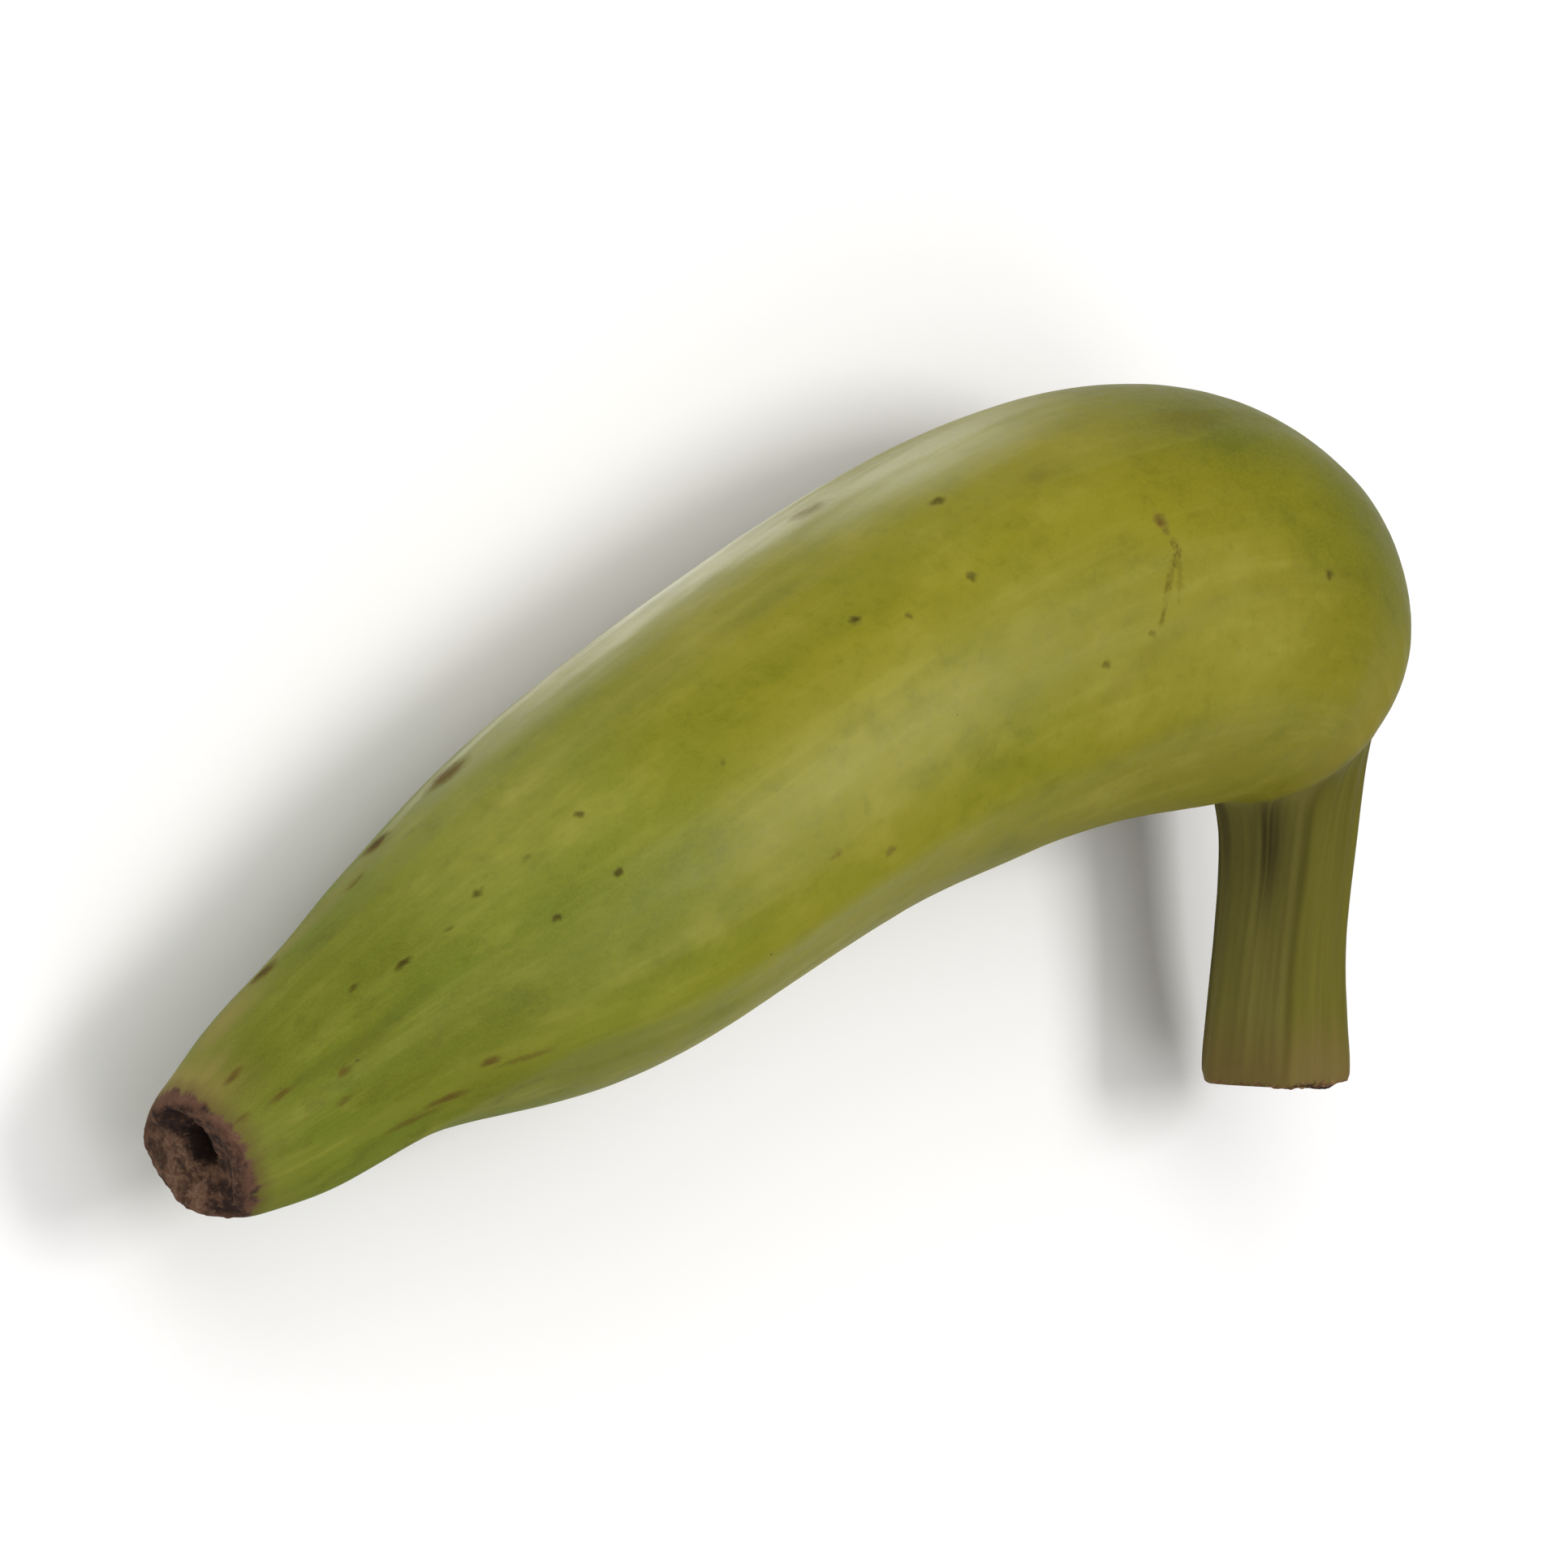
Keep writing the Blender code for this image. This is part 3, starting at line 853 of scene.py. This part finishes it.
def skin_material(length):
    """Peel, its marks, the blossom scar and the cut face in one material."""
    material = bpy.data.materials.new("plantain_peel")
    material.use_nodes = True
    tree = material.node_tree
    tree.nodes.clear()
    n = Nodes(tree)
    tube = n.attribute("skin_tube")
    flat = n.attribute("skin_map")
    disc = n.attribute("end_disc")
    along, arc = n.parts(flat)[0:2]
    share = n.math("DIVIDE", along, length)
    angle = n.math("MULTIPLY", arc, math.degrees(1 / PATTERN_RADIUS))

    streak_at = n.vector("MULTIPLY", tube, (0.20, 1.0, 1.0))
    thread_at = n.vector("MULTIPLY", tube, (0.07, 1.0, 1.0))
    streaks = n.noise(streak_at, 1.3, 4.0, 0.6)
    threads = n.noise(thread_at, 4.0, 3.0, 0.6)
    mottle = n.noise(tube, 5.5, 4.0, 0.65)
    grain = n.noise(tube, 26.0, 2.0, 0.6)
    cloudy = n.noise(tube, 1.1, 3.0)
    noises = (streaks, threads, mottle, grain)
    colour = peel_colour(n, flat, share, angle, tube, noises, length)
    colour = end_tints(n, colour, flat, share, angle, noises, length)

    wobble = n.add("ShaderNodeTexNoise", {"Vector": tube, "Scale": 9.0, "Detail": 3.0})
    wobble = n.vector("SUBTRACT", wobble.outputs["Color"], (0.5, 0.5, 0.5))
    marked = n.vector("ADD", flat, n.vector("MULTIPLY", wobble, (0.16, 0.12, 0.0)))
    specks = mark_mask(n, marked, SPECKS, length, 0.78)
    scuffs = mark_mask(n, marked, SCUFFS, length, 0.75)
    scuffs = n.math("MULTIPLY", scuffs, n.ramp(n.noise(streak_at, 8.0, 4.0, 0.65), 0.28, 0.50))
    shade = line_mask(n, marked, TIP_SHADE, length, TIP_SHADE_WIDTH)
    shade = n.math("MULTIPLY", shade, TIP_SHADE_COVER)
    colour = n.mix(shade, colour, SHADED_GREEN)
    colour = n.mix(n.math("MULTIPLY", scuffs, SCUFF_COVER), colour, SCUFF_BROWN)
    crease = line_mask(n, marked, CREASE, length, CREASE_WIDTH)
    crease = n.math("MULTIPLY", crease, n.ramp(cloudy, 0.35, 0.60, 0.10, 0.22))
    colour = n.mix(crease, colour, CREASE_OLIVE)
    cracks = None
    for line, width, strength in CRACKS:
        cover = n.math("MULTIPLY", line_mask(n, marked, line, length, width), strength)
        cracks = cover if cracks is None else n.math("MAXIMUM", cracks, cover)
    cracks = n.math("MULTIPLY", cracks, n.ramp(mottle, 0.42, 0.58, 0.12, 0.62))
    colour = n.mix(cracks, colour, CRACK_BROWN)
    colour = n.mix(n.math("MULTIPLY", specks, SPECK_COVER), colour, SPECK_BROWN)

    # Sparse small freckles all over
    dots = n.add("ShaderNodeTexVoronoi", {"Vector": tube, "Scale": 1.1, "Randomness": 1.0})
    chance = n.parts(dots.outputs["Color"])[0]
    freckle = n.math("LESS_THAN", dots.outputs["Distance"], n.math("MULTIPLY", chance, 0.040))
    freckle = n.math("MULTIPLY", freckle, n.ramp(chance, 0.45, 0.9, 0.0, 0.8))
    colour = n.mix(freckle, colour, FRECKLE_BROWN)

    across = n.parts(disc)
    crust = {0: across[0], 1: across[1], 2: n.math("MULTIPLY", along, 1.2)}
    crust = n.add("ShaderNodeCombineXYZ", crust).outputs[0]
    scar, scar_fine = scar_colour(n, disc, crust)
    edge = n.math("ADD", along, n.centred(n.noise(tube, 2.4, 3.0, 0.55), 0.30))
    scar_mask = n.ramp(edge, 0.09, 0.01)
    halo = n.ramp(edge, 0.34, 0.02, 0.0, 0.65)
    colour = n.mix(halo, colour, SCAR_HALO)
    colour = n.mix(scar_mask, colour, scar)

    cut, cut_fine = cut_colour(n, crust)
    cut_edge = n.math("ADD", along, n.centred(mottle, 0.26))
    cut_mask = n.ramp(cut_edge, length - 0.06, length + 0.03)
    colour = n.mix(cut_mask, colour, cut)

    ends = n.math("MAXIMUM", scar_mask, cut_mask)
    rough = n.ramp(mottle, 0.3, 0.7, 0.34, 0.42)
    for place, low, high, more in (
        (share, 0.48, 0.60, 0.10),
        (share, 0.24, 0.10, 0.18),
        (n.math("ABSOLUTE", angle), 112.0, 130.0, 0.18),
        (share, 0.78, 0.85, 0.22),
    ):
        rough = n.math("ADD", rough, n.ramp(place, low, high, 0.0, more))
    rough = n.math("ADD", rough, n.math("MULTIPLY", ends, END_ROUGHER))
    marks = n.math("MAXIMUM", n.math("MAXIMUM", specks, scuffs), cracks)
    rough = n.math("ADD", rough, n.math("MULTIPLY", marks, MARK_ROUGHER))

    height = n.math("ADD", n.math("MULTIPLY", mottle, 0.16), n.math("MULTIPLY", grain, 0.05))
    height = n.math("ADD", height, n.math("MULTIPLY", streaks, 0.5))
    sunken = n.math("MULTIPLY", n.math("MAXIMUM", specks, cracks), 0.5)
    height = n.math("SUBTRACT", height, sunken)
    crumbs = n.math("ADD", scar_fine, cut_fine)
    height = n.math("ADD", height, n.math("MULTIPLY", crumbs, n.math("MULTIPLY", ends, 4.0)))
    bump = n.add(
        "ShaderNodeBump",
        {"Height": height, "Strength": BUMP_STRENGTH, "Distance": BUMP_DEPTH},
    )

    surface = n.add(
        "ShaderNodeBsdfPrincipled",
        {"Base Color": colour, "Roughness": rough, "Normal": bump.outputs[0], "IOR": SKIN_IOR},
    )
    surface.inputs["Specular IOR Level"].default_value = SKIN_SPECULAR
    out = n.add("ShaderNodeOutputMaterial")
    tree.links.new(surface.outputs[0], out.inputs[0])
    return material


def floor_material():
    """Plain pale floor with a barely uneven tone."""
    material = bpy.data.materials.new("pale_floor")
    material.use_nodes = True
    n = Nodes(material.node_tree)
    surface = material.node_tree.nodes["Principled BSDF"]
    place = n.add("ShaderNodeTexCoord").outputs["Object"]
    cloud = n.noise(place, 3.0, 2.0)
    tone = n.mix(n.ramp(cloud, 0.3, 0.7), FLOOR_DARK, FLOOR_LIGHT)
    material.node_tree.links.new(tone, surface.inputs["Base Color"])
    surface.inputs["Roughness"].default_value = FLOOR_ROUGHNESS
    surface.inputs["Specular IOR Level"].default_value = FLOOR_SPECULAR
    return material


def add_floor():
    """Wide flat floor under the finger."""
    mesh = bpy.data.meshes.new("floor")
    reach = FLOOR_REACH
    corners = [(-reach, -reach, 0), (reach, -reach, 0), (reach, reach, 0), (-reach, reach, 0)]
    mesh.from_pydata(corners, [], [(0, 1, 2, 3)])
    mesh.materials.append(floor_material())
    floor = bpy.data.objects.new("floor", mesh)
    bpy.context.scene.collection.objects.link(floor)


def add_light(name, place, aim, side, power):
    """Square soft light that faces the aim."""
    data = bpy.data.lights.new(name, "AREA")
    data.shape = "RECTANGLE"
    data.size = data.size_y = side
    data.energy = power
    light = bpy.data.objects.new(name, data)
    light.location = place
    light.rotation_euler = (Vector(aim) - Vector(place)).to_track_quat("-Z", "Y").to_euler()
    bpy.context.scene.collection.objects.link(light)


def view_axes():
    """Right, up and backward axes of the photograph's view, for the laid finger."""
    azimuth = math.radians(VIEW_AZIMUTH)
    elevation = math.radians(VIEW_ELEVATION)
    back = np.array([
        -math.sin(azimuth) * math.cos(elevation),
        math.sin(elevation),
        math.cos(azimuth) * math.cos(elevation),
    ])
    right = np.cross(np.array([0.0, 1.0, 0.0]), back)
    right /= np.linalg.norm(right)
    up = np.cross(back, right)
    return [Vector(REST_TURN @ axis) for axis in (right, up, back)]


def add_camera(aim):
    """Camera that sees the laid finger as the photograph shows it."""
    right, up, back = view_axes()
    data = bpy.data.cameras.new("camera")
    data.sensor_width = SENSOR_MM
    data.lens = LENS_MM
    data.clip_start = CLIP_START
    camera = bpy.data.objects.new("camera", data)
    place = aim + back * VIEW_DISTANCE
    camera.matrix_world = Matrix((
        (right.x, up.x, back.x, place.x),
        (right.y, up.y, back.y, place.y),
        (right.z, up.z, back.z, place.z),
        (0, 0, 0, 1),
    ))
    bpy.context.scene.collection.objects.link(camera)
    bpy.context.scene.camera = camera


finger_length = sections(np.array([0.0]))[3]
skin = build_finger(skin_material(float(finger_length)))
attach(skin, "root")
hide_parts("plantain")

add_floor()
middle = (Vector(cad_box[0]) + Vector(cad_box[1])) / 2
add_camera(middle)
for name, direction, distance, side, power in LIGHTS:
    add_light(name, middle + Vector(direction) * distance, middle, side, power)

world = bpy.data.worlds.new("studio")
bpy.context.scene.world = world
world.use_nodes = True
background = world.node_tree.nodes["Background"]
background.inputs["Color"].default_value = WORLD_COLOUR
background.inputs["Strength"].default_value = WORLD_STRENGTH
bpy.context.scene.view_settings.view_transform = "Standard"
